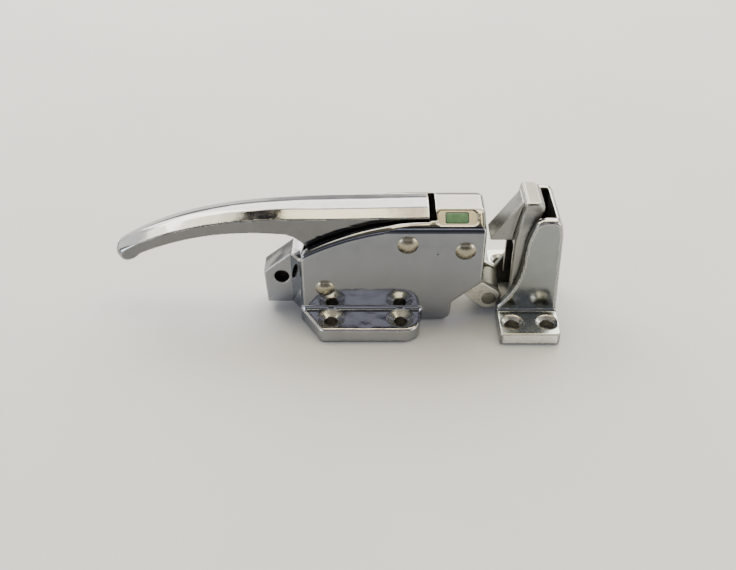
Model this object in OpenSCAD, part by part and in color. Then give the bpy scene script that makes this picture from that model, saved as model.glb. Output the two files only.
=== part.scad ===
// Door lock for a walk-in cooler: a pull-handle roller latch and its
// adjustable strike. Millimetres. The mounting plane is Z = 0, +X points
// from the latch to the strike, and the origin is the centre of the latch's
// four screw holes.

/* [Housing] */
// Half the outer width of the housing
body_hw = 17; // [16.5:0.1:18]
// Half the clear width between the housing walls
body_in = 12; // [11.9:0.05:12.3]
// Height of the flat top above the door
top_z = 59.5; // [59:0.1:61]
// Radius of the long curve along the top of the walls
crown_r = 119; // [110:1:130]
// Thickness of the screw flanges
flange_t = 7.6; // [6:0.1:8]
// Distance of the flange edge from the middle plane
flange_y = 33.5; // [33:0.1:36]
// Screw hole spacing along the door
hole_dx = 34; // [30:0.5:36]
// Screw hole spacing across the latch
hole_dy = 49; // [48:0.5:50]
// Screw hole diameter
hole_d = 6.5; // [5:0.1:7]
// Countersink diameter
sink_d = 13.2; // [11:0.1:13.4]
// Padlock hole diameter
eye_d = 7; // [6:0.1:8]

/* [Handle] */
// Half width of the handle at its root
handle_hw = 10.8; // [10.5:0.1:10.9]
// Half width of the handle near its tip
tip_hw = 7.8; // [7:0.1:9]
// Half width of the flat on the handle's crest
flat_hw = 3.4; // [3:0.1:4]
// Drop of the side bevels
bevel_h = 2.3; // [1.5:0.1:3]
// Position of the handle's tip
tip_x = -122.2; // [-124:0.1:-120]

/* [Bolt] */
// Thickness of each bolt plate
plate_t = 3.2; // [3:0.1:3.2]
// Outer half width over the bolt plates
bolt_hw = 11.5; // [11.4:0.05:11.5]
// Roller diameter
roller_d = 11.6; // [11:0.1:11.8]

/* [Spring] */
// Wire diameter of the return spring
wire_d = 1.4; // [1:0.1:1.5]
// Mean radius of the coil
coil_r = 3.6; // [3.5:0.05:3.7]
// Number of turns
turns = 7; // [5:0.5:8]

/* [Strike] */
// Half the outer width of the strike
strike_hw = 17; // [16.8:0.1:18]
// Half the clear width between the strike walls
strike_in = 13; // [12.9:0.05:13.2]
// Height of the strike walls
strike_z = 59; // [57:0.5:59.5]
// Thickness of the strike feet
foot_t = 6.2; // [5:0.1:7]
// Distance of the foot edge from the middle plane
foot_y = 35.3; // [35:0.1:37]
// Strike hole spacing along the door
shole_dx = 17; // [16:0.5:18]
// Strike hole spacing across the strike
shole_dy = 52; // [51:0.5:53]
// Strike hole diameter
shole_d = 7; // [6:0.1:7.2]
// Strike countersink diameter
ssink_d = 11; // [10:0.1:11.5]
// Height of the hook's flat top
hook_z = 64.5; // [64:0.1:66]

/* [Hidden] */
$fn = 64;
// pivots in the X-Z plane
A = [19.8, 45.9];
B = [47.2, 42.5];
T = [-19.8, 20.3];
R = [61.1, 9.5];
P = [28.6, 25];
K = [45.4, 21];
S = A + [-4, -24];
fit = 0.04;
slot_x = 32.7;
strike_x = 80;
screw_x = 86;
rod_a = atan2(S[1] - T[1], S[0] - T[0]);
rod_l = norm(S - T);
bevel_a = atan2(4.9, 9.2);

// top line of the housing walls
function crown(x) = 56 - (crown_r - sqrt(crown_r * crown_r - (30 - min(x, 30)) * (30 - min(x, 30))));
// crest, bevel foot, underside and half width of the handle arm at x
function crest(x) = top_z - 0.02 * (30 - x) - (x < -20 ? 3.05e-5 * pow(-20 - x, 2.9) : 0);
function depth(x) = 8.7 + 2.8 * pow(max(0, (min(x, -37) + 85) / 48), 2) + 1.5 * lookup(-x, [[108, 0], [110, 0.3], [112, 0.8], [113.5, 1]]);
function flat(x) = flat_hw * lookup(x, [[-118, 0.15], [-105, 0.26], [-78, 0.53], [-30, 0.85], [20, 1]]);
function near_tip(x) = x < tip_x + 6 ? sqrt(max(0.004, 1 - pow((tip_x + 6 - x) / 6, 2))) : 1;
function half_w(x) = x > -20 ? handle_hw : handle_hw - (handle_hw - tip_hw) * (-20 - x) / (-20 - tip_x);
// an arc of points
function arc(c, r, a0, a1, n) = [for (i = [0 : n]) c + r * [cos(a0 + (a1 - a0) * i / n), sin(a0 + (a1 - a0) * i / n)]];
// point where the outer common tangent leaves circle 1, on the right of the way from c1 to c2
function tan_a(c1, r1, c2, r2) = atan2(c2[1] - c1[1], c2[0] - c1[0]) - acos((r1 - r2) / norm(c2 - c1));
function on_circle(c, r, a) = c + r * [cos(a), sin(a)];

// extrude an X-Z outline across Y, from y0 to y1
module slab(y0, y1) {
    translate([0, y1, 0]) rotate([90, 0, 0]) linear_extrude(y1 - y0) children();
}
// cylinder along Y at a point of the X-Z plane
module cross(c, r, y0, y1) {
    translate([c[0], y1, c[1]]) rotate([90, 0, 0]) cylinder(r = r, h = y1 - y0);
}
module both_sides() {
    children();
    mirror([0, 1, 0]) children();
}
// countersunk hole, opening upward at height t; k is the slope of its cone
module sunk_hole(d, s, t, k) {
    translate([0, 0, -1]) cylinder(d = d, h = t + 2);
    translate([0, 0, t - k * (s - d) / 2]) cylinder(d1 = d, d2 = s, h = k * (s - d) / 2);
    translate([0, 0, t]) cylinder(d = s, h = 1);
}
// rivet with a low domed head at each end
module rivet(c, r, head_r, head_h, hw) {
    rs = (head_r * head_r + head_h * head_h) / (2 * head_h);
    cross(c, r, -hw - 0.1, hw + 0.1);
    for (s = [-1, 1])
        translate([c[0], s * hw, c[1]]) rotate([s > 0 ? -90 : 90, 0, 0])
            rotate_extrude() intersection() {
                translate([0, head_h - rs]) circle(r = rs);
                square([head_r, head_h]);
            }
}

module housing_outline() {
    polygon(concat([[-31, 0], [38, 0]],
        arc([37, 4.8], 4.9, -78, 0, 5),
        [[42.2, 10.6], [44.4, 12.6], [56.6, 23.4], [56.6, top_z], [slot_x, top_z]],
        [for (i = [0 : 20]) let (x = slot_x - 0.2 + (-31 - slot_x + 0.2) * i / 20) [x, crown(x) + (x > 30 ? 0.4 : 0)]]));
}
module housing_section() {
    polygon([[-body_hw, -1], [body_hw, -1], [body_hw, 51.8], [16.2, 54.6], [7, top_z],
        [-7, top_z], [-16.2, 54.6], [-body_hw, 51.8]]);
}
module flange_outline() {
    polygon(concat([[-32, -14], [-32, -16], [-22.4, -flange_y + 1.2], [-20.8, -flange_y]],
        arc([18.5, 8 - flange_y], 8, -90, 0, 8), [[27.6, -16], [27.6, -14]]));
}
module ear_plan() {
    polygon([[-51, -6.4], [-36.2, -6.4], [-31.4, -14], [-29, -16], [-27, -16], [-27, 16],
        [-29, 16], [-31.4, 14], [-36.2, 6.4], [-51, 6.4]]);
}
module ear_outline() {
    polygon([[-49.4, 3.4], [-28, 3.4], [-28, 34.2], [-35.2, 34.2], [-50.3, 22.2]]);
}
module panel_place() {
    translate([42.9, -10.9, 57.42]) rotate([bevel_a - 0.5, 0, 0]) children();
}

module housing() {
    color("lightgray") difference() {
        union() {
            intersection() {
                slab(-body_hw, body_hw) housing_outline();
                translate([-40, 0, 0]) rotate([90, 0, 90]) linear_extrude(110) housing_section();
            }
            both_sides() difference() {
                linear_extrude(flange_t) flange_outline();
                for (x = [-1, 1]) translate([x * hole_dx / 2, -hole_dy / 2, 0]) sunk_hole(hole_d, sink_d, flange_t, 0.58);
            }
            intersection() {
                slab(-17, 17) ear_outline();
                linear_extrude(60) ear_plan();
            }
        }
        // inside, open at the back, at the lower right and along the handle slot
        slab(-body_in, body_in) polygon([[-27.5, -1], [60, -1], [60, 54.3], [35, 54.3], [slot_x, top_z],
            [slot_x, 70], [-40, 70], [-40, 34.2], [-29.6, 34.2], [-28.2, 33.2], [-27.5, 31]]);
        cross(A, 3.5 + fit, -18, 18);
        cross(B, 3.5 + fit, -18, 18);
        cross(T, 3 + fit, -18, 18);
        cross([-41.6, 19.2], eye_d / 2, -10, 10);
        // shallow panel in the near bevel, with a pocket for the insert
        panel_place() {
            translate([-9.4, -4.3, -0.5]) cube([18.8, 8.6, 4]);
            translate([-5.3, -2.9, -1.4]) cube([10.6, 5.8, 3]);
        }
    }
}
module badge() {
    color("mediumseagreen") panel_place() translate([-5.25, -2.85, -1.4]) cube([10.5, 5.7, 0.95]);
}

// arm of the handle, lofted through upright sections along X
module handle_arm() {
    n = 46;
    xs = [for (i = [0 : n]) let (u = i / n) tip_x + 0.05 + (30 - tip_x - 0.05) * (u < 0.26 ? 0.62 * u * u / 0.26 : 0.1612 + 0.8388 * (u - 0.26) / 0.74)];
    pts = [for (x = xs) let (k = near_tip(x), w = half_w(x) * (0.45 + 0.55 * k), f = flat(x),
            d = depth(x), mid = crest(x) - d * 0.56, zt = mid + d * 0.56 * k, zu = mid - d * 0.44 * k,
            zb = zt - min(bevel_h, (zt - zu) * 0.4))
        each [[x, -f, zt], [x, f, zt], [x, w, zb], [x, w, zu], [x, -w, zu], [x, -w, zb]]];
    m = 6;
    faces = concat([[for (j = [0 : m - 1]) m - 1 - j]], [[for (j = [0 : m - 1]) n * m + j]],
        [for (i = [0 : n - 1]) for (j = [0 : m - 1])
            each [[i * m + j, i * m + (j + 1) % m, (i + 1) * m + j],
                  [(i + 1) * m + j, i * m + (j + 1) % m, (i + 1) * m + (j + 1) % m]]]);
    polyhedron(pts, faces, convexity = 4);
}
module handle_leg_outline() {
    polygon([[8, 49], [9.6, 34], [9.3, 22], [10.4, 18.2], [13.2, 15.8], [18.4, 15.8], [22.6, 19],
        [26, 18.6], [31.4, 18.6], [34, 21], [34, 35.6], [31.4, 39.6], [29, 41], [28.6, 49]]);
}
module handle() {
    color("gainsboro") difference() {
        union() {
            handle_arm();
            cross(A, 7.4, -handle_hw, handle_hw);
            slab(-7.8, 7.8) handle_leg_outline();
            // skirts that follow the handle down into the slot
            both_sides() slab(-handle_hw, -7.6) polygon([[-37.4, 50], [-36.7, 46.7], [-34.4, 45.7], [-31.3, 43.2], [-28.2, 40.2],
                [-26, 38.4], [10, 46], [12, 52]]);
        }
        cross(A, 4.5 + fit, -20, 20);
        // room for the rod and spring between the legs
        slab(-4.7, 4.7) polygon([[0, 10], [36, 10], [36, 34], [24, 36], [12, 33.4], [0, 30]]);
        cross(S, 4 + fit, -20, 20);
        // slot for the drive pin
        slab(-20, 20) {
            translate(P) circle(r = 3.6);
            translate([27.6, 33.7]) circle(r = 3.6);
            polygon([P + [-3.6, 0.4], P + [3.6, 0.4], [31.2, 33.3], [24, 33.3]]);
        }
        // foundry relief under the arm, between the ribs
        slab(-7.6, 7.6) polygon([[-27, 30], [5, 30], [5, 53.6], [-27, 53.0]]);
    }
}
module handle_bushing() {
    color("peru") difference() {
        cross(A, 4.5, -handle_hw, handle_hw);
        cross(A, 3.5 + fit, -20, 20);
    }
}
module handle_washers() {
    color("silver") both_sides() difference() {
        cross(A, 6.8, -handle_hw - 0.8, -handle_hw);
        cross(A, 3.5 + fit, -20, 0);
    }
}
module handle_pivot_pin() { color("wheat") rivet(A, 3.5, 5, 2.4, body_hw); }
module bolt_pivot_pin() { color("wheat") rivet(B, 3.5, 5, 2.4, body_hw); }
module spring_anchor_pin() { color("wheat") rivet(T, 3, 4.7, 2.3, body_hw); }

// circles joined by their outer tangents, counter-clockwise
module tangent_hull(c, r) {
    n = len(c);
    for (i = [0 : n - 1]) translate(c[i]) circle(r = r[i]);
    polygon([for (i = [0 : n - 1]) let (j = (i + 1) % n, a = tan_a(c[i], r[i], c[j], r[j]))
        each [on_circle(c[i], r[i], a), on_circle(c[j], r[j], a)]]);
}
// bell crank, with a cranked arm to the roller
module plate_outline() {
    tangent_hull([B, P, K], [8, 5.4, 5]);
    tangent_hull([K, R], [5, 6.2]);
}
module bolt_plate(y0, y1) {
    color("darkkhaki") difference() {
        slab(y0, y1) plate_outline();
        cross(B, 5 + fit, -20, 20);
        cross(P, 3 + fit, -20, 20);
        cross(R, 2.75 + fit, -20, 20);
    }
}
module bolt_plate_front() { bolt_plate(-bolt_hw, plate_t - bolt_hw); }
module bolt_plate_rear() { bolt_plate(bolt_hw - plate_t, bolt_hw); }
module bolt_bushing() {
    color("darkgray") difference() {
        union() {
            cross(B, 5, -bolt_hw, bolt_hw);
            cross(B, 6.8, plate_t - bolt_hw, bolt_hw - plate_t);
        }
        cross(B, 3.5 + fit, -20, 20);
    }
}
module bolt_drive_pin() { color("darkgray") cross(P, 3, -bolt_hw, bolt_hw); }
module roller() {
    hw = bolt_hw - plate_t - 0.4;
    color("lightslategray") difference() {
        translate([R[0], hw, R[1]]) rotate([90, 0, 0]) rotate_extrude()
            polygon([[0, 0], [roller_d / 2 - 0.7, 0], [roller_d / 2, 0.7], [roller_d / 2, 2 * hw - 0.7], [roller_d / 2 - 0.7, 2 * hw], [0, 2 * hw]]);
        cross(R, 2.75 + fit, -20, 20);
    }
}
module roller_pin() {
    color("darkgray") {
        cross(R, 2.75, -bolt_hw - 0.1, bolt_hw + 0.1);
        both_sides() translate([R[0], -bolt_hw, R[1]]) rotate([90, 0, 0]) rotate_extrude()
            polygon([[0, 0], [3.6, 0], [3.6, 0.25], [3.1, 0.6], [0, 0.6]]);
    }
}

// along the rod: x runs from the anchor pin towards the trunnion
module on_rod() { translate([T[0], 0, T[1]]) rotate([0, -rod_a, 0]) children(); }
module spring_rod() {
    color("darkgray") difference() {
        union() {
            cross(T, 6, -4, 4);
            on_rod() rotate([0, 90, 0]) {
                translate([0, 0, 4]) cylinder(r = 3.4, h = 4.6);
                translate([0, 0, 8.4]) cylinder(r = 4.5, h = 1.6);
                translate([0, 0, 9.6]) cylinder(r = 2.2, h = rod_l + 5 - 9.6);
            }
        }
        cross(T, 3 + fit, -20, 20);
    }
}
module spring() {
    l0 = 10 + wire_d / 2 + 0.02;
    l1 = rod_l - 5 - wire_d / 2 - 0.02;
    rings = 12 * turns;
    // the end coils close up, the others are evenly spread
    function along(t) = l0 + (l1 - l0) * (t < 1 ? t * 0.072 : t > turns - 1 ? 1 - (turns - t) * 0.072 : 0.072 + (t - 1) / (turns - 2) * 0.856);
    function ring(k) = let (t = k / 12, a = 360 * t, x = along(t))
        [for (j = [0 : 7]) let (b = 45 * j, rr = coil_r + wire_d / 2 * cos(b))
            [x + wire_d / 2 * sin(b), rr * cos(a), rr * sin(a)]];
    pts = [for (k = [0 : rings]) each ring(k)];
    faces = concat([[for (j = [0 : 7]) j]], [[for (j = [0 : 7]) rings * 8 + 7 - j]],
        [for (k = [0 : rings - 1]) for (j = [0 : 7])
            each [[k * 8 + j, (k + 1) * 8 + j, k * 8 + (j + 1) % 8],
                  [(k + 1) * 8 + j, (k + 1) * 8 + (j + 1) % 8, k * 8 + (j + 1) % 8]]]);
    color("dimgray") on_rod() polyhedron(pts, faces, convexity = 8);
}
module spring_washer() {
    color("silver") on_rod() translate([rod_l - 5, 0, 0]) rotate([0, 90, 0]) difference() {
        cylinder(r = 4.4, h = 1);
        translate([0, 0, -1]) cylinder(r = 2.9, h = 3);
    }
}
module spring_trunnion() {
    color("darkgray") difference() {
        cross(S, 4, -7.7, 7.7);
        on_rod() rotate([0, 90, 0]) cylinder(r = 2.9, h = 60);
        // flat that the washer sits on
        on_rod() translate([rod_l - 14, -4.6, -6]) cube([10, 9.2, 12]);
    }
}

module strike_wall_outline() {
    polygon(concat([[64.6, 0], [64.6, 8.4], [68.4, 13.6], [71, 18], [72.9, 22.6], [74.2, 28], [75, 35], [75.4, 42], [76.4, 48.4], [78, 53.6]],
        arc([84.4, 52.6], 6.4, 165, 90, 6), arc([87.2, 54.4], 4.6, 90, 20, 5), [[92.6, 50], [94.8, 0]]));
}
module strike_foot_outline() {
    polygon([[64.6, -14], [64.6, -foot_y + 1.4], [66, -foot_y], [92.6, -foot_y], [94, -foot_y + 1.4], [94.8, -14]]);
}
module strike_body() {
    color("lightgray") difference() {
        union() {
            intersection() {
                slab(-strike_hw, strike_hw) strike_wall_outline();
                union() {
                    both_sides() translate([60, -strike_hw, -1]) cube([40, strike_hw - strike_in, 70]);
                    // back wall and the bridge under the screw
                    slab(-strike_hw, strike_hw) polygon([[88.9, -1], [88.9, 70], [100, 70], [100, -1]]);
                    translate([81, -strike_hw, 0]) cube([12, 2 * strike_hw, 6]);
                }
            }
            both_sides() difference() {
                linear_extrude(foot_t) strike_foot_outline();
                for (x = [-1, 1]) translate([strike_x + x * shole_dx / 2, -shole_dy / 2, 0]) sunk_hole(shole_d, ssink_d, foot_t, 0.84);
            }
        }
        translate([0, -strike_in, -1]) cube([81, 2 * strike_in, 80]);
        translate([0, -strike_in, 6]) cube([88.9, 2 * strike_in, 80]);
        translate([screw_x, 0, -1]) cylinder(r = 2 + fit, h = 10);
        translate([screw_x, 0, -1]) cylinder(r = 4.4, h = 3.6);
    }
}
module strike_hook() {
    hw = 12.6;
    color("gainsboro") difference() {
        union() {
            // nose
            slab(-6, 6) polygon([[60.2, 41], [60, 42.6], [73.6, 62.4], [76, 62.4], [76, 41]]);
            // head
            slab(-10.4, 10.4) polygon([[72.4, 41], [73.4, 58], [74.3, hook_z], [81.4, hook_z], [83.6, 62.4], [83.8, 60.2],
                [82.6, 58], [80.4, 54], [80.4, 41]]);
            // cheeks, joined by the back web
            both_sides() slab(-hw, -9.9) polygon([[70.6, 10], [70.6, 42], [72.2, 54], [80.4, 54], [80.4, 10]]);
            slab(-hw, hw) polygon([[77.6, 10], [77.6, 54], [80.4, 54], [80.4, 10]]);
            // threaded lug on the screw
            slab(-6.5, 6.5) polygon([[79, 24], [79, 34], [88.4, 34], [88.4, 24]]);
        }
        translate([screw_x, 0, 10]) cylinder(r = 2.5 + fit, h = 40);
    }
}
module adjusting_screw() {
    color("darkgray") translate([screw_x, 0, 0]) difference() {
        union() {
            translate([0, 0, 1]) cylinder(r = 2, h = 6);
            translate([0, 0, 6.05]) cylinder(r = 2.5, h = 41.95);
        }
        translate([-0.6, -4, 46.2]) cube([1.2, 8, 4]);
        // groove for the clip
        translate([0, 0, 1.45]) difference() {
            cylinder(r = 3, h = 0.9);
            translate([0, 0, -1]) cylinder(r = 1.5, h = 3);
        }
    }
}
module screw_clip() {
    color("dimgray") translate([screw_x, 0, 1.5]) difference() {
        cylinder(r = 3.8, h = 0.8);
        translate([0, 0, -1]) cylinder(r = 1.5 + fit, h = 3);
        translate([0, -1.3, -1]) cube([6, 2.6, 3]);
    }
}

housing();
handle();
handle_bushing();
handle_washers();
handle_pivot_pin();
bolt_pivot_pin();
spring_anchor_pin();
bolt_plate_front();
bolt_plate_rear();
bolt_bushing();
bolt_drive_pin();
roller();
roller_pin();
spring_rod();
spring();
spring_washer();
spring_trunnion();
badge();
strike_body();
strike_hook();
adjusting_screw();
screw_clip();
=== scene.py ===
import math

import bmesh
import bpy
import numpy as np
from mathutils import Matrix, Vector


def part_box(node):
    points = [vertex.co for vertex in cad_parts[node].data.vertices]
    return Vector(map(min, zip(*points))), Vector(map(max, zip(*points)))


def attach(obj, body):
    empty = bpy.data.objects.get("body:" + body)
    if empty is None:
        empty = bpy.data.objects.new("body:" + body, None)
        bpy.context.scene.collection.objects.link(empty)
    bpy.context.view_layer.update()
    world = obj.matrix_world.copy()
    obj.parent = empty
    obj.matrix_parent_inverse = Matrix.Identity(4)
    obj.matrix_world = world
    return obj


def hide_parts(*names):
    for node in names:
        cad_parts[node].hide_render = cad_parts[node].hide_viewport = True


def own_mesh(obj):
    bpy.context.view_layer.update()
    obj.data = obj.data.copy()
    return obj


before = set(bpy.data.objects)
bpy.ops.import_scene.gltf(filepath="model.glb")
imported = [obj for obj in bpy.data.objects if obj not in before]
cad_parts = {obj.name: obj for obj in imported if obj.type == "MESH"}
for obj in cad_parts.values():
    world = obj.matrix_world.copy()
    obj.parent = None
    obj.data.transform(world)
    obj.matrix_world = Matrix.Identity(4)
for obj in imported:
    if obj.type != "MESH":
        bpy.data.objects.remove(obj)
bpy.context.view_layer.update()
MM = 0.001

# ---------------------------------------------------------------- dimensions, mm
A, B, T = (19.8, 45.9), (47.2, 42.5), (-19.8, 20.3)
R, P = (61.1, 9.5), (28.6, 25.0)
KNEE = (45.4, 21.0)
S = (A[0] - 4.0, A[1] - 24.0)
TOP = 59.5
ROD_A = math.atan2(S[1] - T[1], S[0] - T[0])
ROD_L = math.hypot(S[0] - T[0], S[1] - T[1])
SCREW_X = 86.0

# ---------------------------------------------------------------- distance fields


def rmax(a, b, r):
    """Intersection whose outer edge is rounded to r."""
    return np.minimum(-r, np.maximum(a, b)) + np.hypot(np.maximum(a + r, 0), np.maximum(b + r, 0))


def rmin(a, b, r):
    """Union whose inner corner is filleted to r."""
    return np.maximum(r, np.minimum(a, b)) - np.hypot(np.maximum(r - a, 0), np.maximum(r - b, 0))


def cut(a, b, r):
    return rmax(a, -b, r)


def poly(u, v, pts):
    """Signed distance to a closed outline, negative inside."""
    u, v = np.broadcast_arrays(u, v)
    d = np.full(u.shape, 1e18)
    s = np.ones(u.shape)
    n = len(pts)
    for i in range(n):
        ax, ay = pts[i]
        bx, by = pts[i - 1]
        ex, ey = bx - ax, by - ay
        wx, wy = u - ax, v - ay
        t = np.clip((wx * ex + wy * ey) / (ex * ex + ey * ey), 0, 1)
        d = np.minimum(d, (wx - ex * t) ** 2 + (wy - ey * t) ** 2)
        c1, c2, c3 = v >= ay, v < by, ex * wy > ey * wx
        s = np.where((c1 & c2 & c3) | (~c1 & ~c2 & ~c3), -s, s)
    return s * np.sqrt(d)


def arc(c, r, a0, a1, n):
    return [(c[0] + r * math.cos(math.radians(a0 + (a1 - a0) * i / n)), c[1] + r * math.sin(math.radians(a0 + (a1 - a0) * i / n))) for i in range(n + 1)]


def box2(u, v, hu, hv, r):
    """Rounded rectangle about zero."""
    return rmax(np.abs(u) - hu, np.abs(v) - hv, r)


def smooth(x, a, b):
    t = np.clip((x - a) / (b - a), 0, 1)
    return t * t * (3 - 2 * t)


def net(f, lo, hi, h):
    """Closed quad mesh of f = 0 in a box, with every vertex moved onto the surface, and the surface's normals."""
    ax = [np.arange(lo[k] - 2 * h, hi[k] + 2.5 * h, h) for k in range(3)]
    F = np.asarray(f(ax[0][:, None, None], ax[1][None, :, None], ax[2][None, None, :]), np.float32)
    F = np.ascontiguousarray(np.broadcast_to(F, [len(a) for a in ax]))
    neg = F < 0
    n = [len(a) - 1 for a in ax]
    count = np.zeros(n, np.int8)
    for i in (0, 1):
        for j in (0, 1):
            for k in (0, 1):
                count += neg[i:i + n[0], j:j + n[1], k:k + n[2]]
    active = (count > 0) & (count < 8)
    cell = np.argwhere(active)
    vid = np.full(n, -1, np.int64)
    vid[active] = np.arange(len(cell))
    corner = [(i, j, k) for i in (0, 1) for j in (0, 1) for k in (0, 1)]
    val = np.stack([F[cell[:, 0] + c[0], cell[:, 1] + c[1], cell[:, 2] + c[2]] for c in corner], 1)
    total = np.zeros((len(cell), 3))
    hits = np.zeros(len(cell))
    for p in range(8):
        for q in range(p + 1, 8):
            cp, cq = np.array(corner[p]), np.array(corner[q])
            if np.abs(cp - cq).sum() != 1:
                continue
            m = (val[:, p] < 0) != (val[:, q] < 0)
            t = val[m, p] / (val[m, p] - val[m, q])
            total[m] += cp + (cq - cp) * t[:, None]
            hits[m] += 1
    pos = (cell + total / hits[:, None]) * h + np.array([a[0] for a in ax])
    quads = []
    for axis in range(3):
        o1, o2 = (axis + 1) % 3, (axis + 2) % 3
        sl0 = [slice(None)] * 3
        sl1 = [slice(None)] * 3
        sl0[axis], sl1[axis] = slice(0, -1), slice(1, None)
        a, b = neg[tuple(sl0)], neg[tuple(sl1)]
        e = np.argwhere(a != b)
        ok = (e[:, o1] > 0) & (e[:, o2] > 0) & (e[:, o1] < n[o1]) & (e[:, o2] < n[o2]) & (e[:, axis] < n[axis])
        e = e[ok]
        out = a[tuple(e.T)]
        ring = []
        for d1, d2 in ((-1, -1), (0, -1), (0, 0), (-1, 0)):
            g = e.copy()
            g[:, o1] += d1
            g[:, o2] += d2
            ring.append(vid[tuple(g.T)])
        ring = np.stack(ring, 1)
        ring[~out] = ring[~out][:, ::-1]
        quads.append(ring)
    quads = np.concatenate(quads)

    def grad(p, e):
        g = np.empty_like(p)
        for k in range(3):
            d = np.zeros(3)
            d[k] = e
            a, b = p + d, p - d
            g[:, k] = (f(a[:, 0], a[:, 1], a[:, 2]) - f(b[:, 0], b[:, 1], b[:, 2])) / (2 * e)
        return g

    for step in range(4):
        v = f(pos[:, 0], pos[:, 1], pos[:, 2])
        g = grad(pos, 0.03)
        g2 = np.maximum((g * g).sum(1), 0.2)
        move = -g * (v / g2)[:, None]
        size = np.linalg.norm(move, axis=1)
        move *= np.minimum(1, 0.45 * h / np.maximum(size, 1e-9))[:, None]
        pos = pos + move
    nor = grad(pos, 0.06)
    nor /= np.maximum(np.linalg.norm(nor, axis=1), 1e-9)[:, None]
    return pos, quads, nor


def mesh_object(name, pos, faces, nor=None, scale=MM):
    me = bpy.data.meshes.new(name)
    faces = np.asarray(faces)
    pos = np.asarray(pos, float) * scale
    me.vertices.add(len(pos))
    me.vertices.foreach_set("co", pos.ravel())
    me.loops.add(faces.size)
    me.loops.foreach_set("vertex_index", faces.ravel())
    me.polygons.add(len(faces))
    me.polygons.foreach_set("loop_start", np.arange(0, faces.size, faces.shape[1]))
    me.update(calc_edges=True)
    me.validate()
    me.polygons.foreach_set("use_smooth", np.ones(len(me.polygons), bool))
    if nor is not None:
        me.normals_split_custom_set_from_vertices([tuple(v) for v in nor])
    ob = bpy.data.objects.new(name, me)
    bpy.context.scene.collection.objects.link(ob)
    return ob


# ---------------------------------------------------------------- the castings

HOUSING_SIDE = ([(-31, 0), (38, 0)] + arc((37, 4.8), 4.9, -78, 0, 8) + [(42.2, 10.4), (43.0, 11.4), (44.4, 12.7)]
    + [(54.6, 21.6)] + arc((54.2, 24.4), 2.4, -38, 0, 4) + [(56.6, 80), (-31, 80)])
HOUSING_HOLLOW = [(-27.5, -5), (70, -5), (70, 54.3), (33.8, 54.3), (32.7, TOP), (32.7, 90), (-60, 90), (-60, 34.6), (-36.0, 34.5), (-31.0, 34.2), (-29.4, 33.6), (-28.3, 32.6), (-27.7, 31.0), (-27.5, 28)]
FLANGE = [(-32, -13), (-32, -16), (-22.4, -32.3), (-20.8, -33.5)] + arc((18.5, -25.5), 8, -90, 0, 10) + [(27.2, -16), (27.2, -13)]
EAR = [(-49.4, 3.4), (-24, 3.4), (-24, 34.4), (-35.4, 34.4), (-50.4, 22.2)]
EAR_PLAN = [(-51, 20), (-51, -6.4), (-36.8, -6.4), (-31.9, -13.4), (-30.6, -15.4), (-26, -15.4), (-26, 20)]
TILT = math.atan2(4.9, 9.2) - math.radians(0.5)
PANEL = (42.9, -10.9, 57.42)


def crown(x):
    q = np.clip(30 - x, 0, 90)
    root = np.sqrt(119.0 ** 2 - q * q)
    z = 56 - (119 - root) + np.maximum(x - 30, 0) * 1.7
    return z, np.where(x > 30, 0.55, root / 119)


def panel_axes(y, z):
    c, s = math.cos(TILT), math.sin(TILT)
    return (y - PANEL[1]) * c + (z - PANEL[2]) * s, -(y - PANEL[1]) * s + (z - PANEL[2]) * c


def sd_housing(x, y, z):
    ay = np.abs(y)
    side = rmax(poly(x, z, HOUSING_SIDE), ay - 17, 1.4)
    zc, cs = crown(x)
    bevel = (ay - 7) * 0.470 + (z - TOP) * 0.883
    top = rmax(rmax(z - TOP, bevel, 1.0), (z - zc) * cs, 0.6)
    d = rmax(side, top, 2.9)
    fl = rmax(poly(x, -ay, FLANGE), z - 7.6, 1.5)
    d = rmin(d, fl, 2.2)
    ear = rmax(poly(x, z, EAR), poly(x, -ay, EAR_PLAN), 0.7)
    d = rmin(d, ear, 0.9)
    d = rmax(d, -z, 0.35)
    hollow = rmax(poly(x, z, HOUSING_HOLLOW), ay - 12, 0.6)
    d = cut(d, hollow, 0.9)
    for sx in (-17, 17):
        rr = np.hypot(x - sx, ay - 24.5)
        d = cut(d, np.minimum(rr - 3.25, np.maximum(((rr - 3.25) * 0.58 - (z - 5.657)) * 0.865, rr - 6.7)), 0.4)
    d = cut(d, np.hypot(x + 41.6, z - 19.2) - 3.5, 0.7)
    for c, r in ((A, 3.54), (B, 3.54), (T, 3.04)):
        d = cut(d, np.hypot(x - c[0], z - c[1]) - r, 0.15)
    ly, lz = panel_axes(y, z)
    d = cut(d, rmax(box2(x - PANEL[0], ly, 9.4, 4.3, 2.2), -(lz + 0.5), 0.35), 0.45)
    d = cut(d, np.maximum(box2(x - PANEL[0], ly, 5.3, 2.9, 0.9), -(lz + 1.4)), 0.2)
    return d


def crest(x):
    q = np.maximum(-20 - x, 0)
    return TOP - 0.02 * (30 - x) - 3.05e-5 * q ** 2.9, 0.02 + 3.05e-5 * 2.9 * q ** 1.9


def depth(x):
    return 8.7 + 2.8 * np.maximum(0, (np.minimum(x, -37) + 85) / 48) ** 2 + 1.5 * smooth(-x, 108.5, 113.5)


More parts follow.
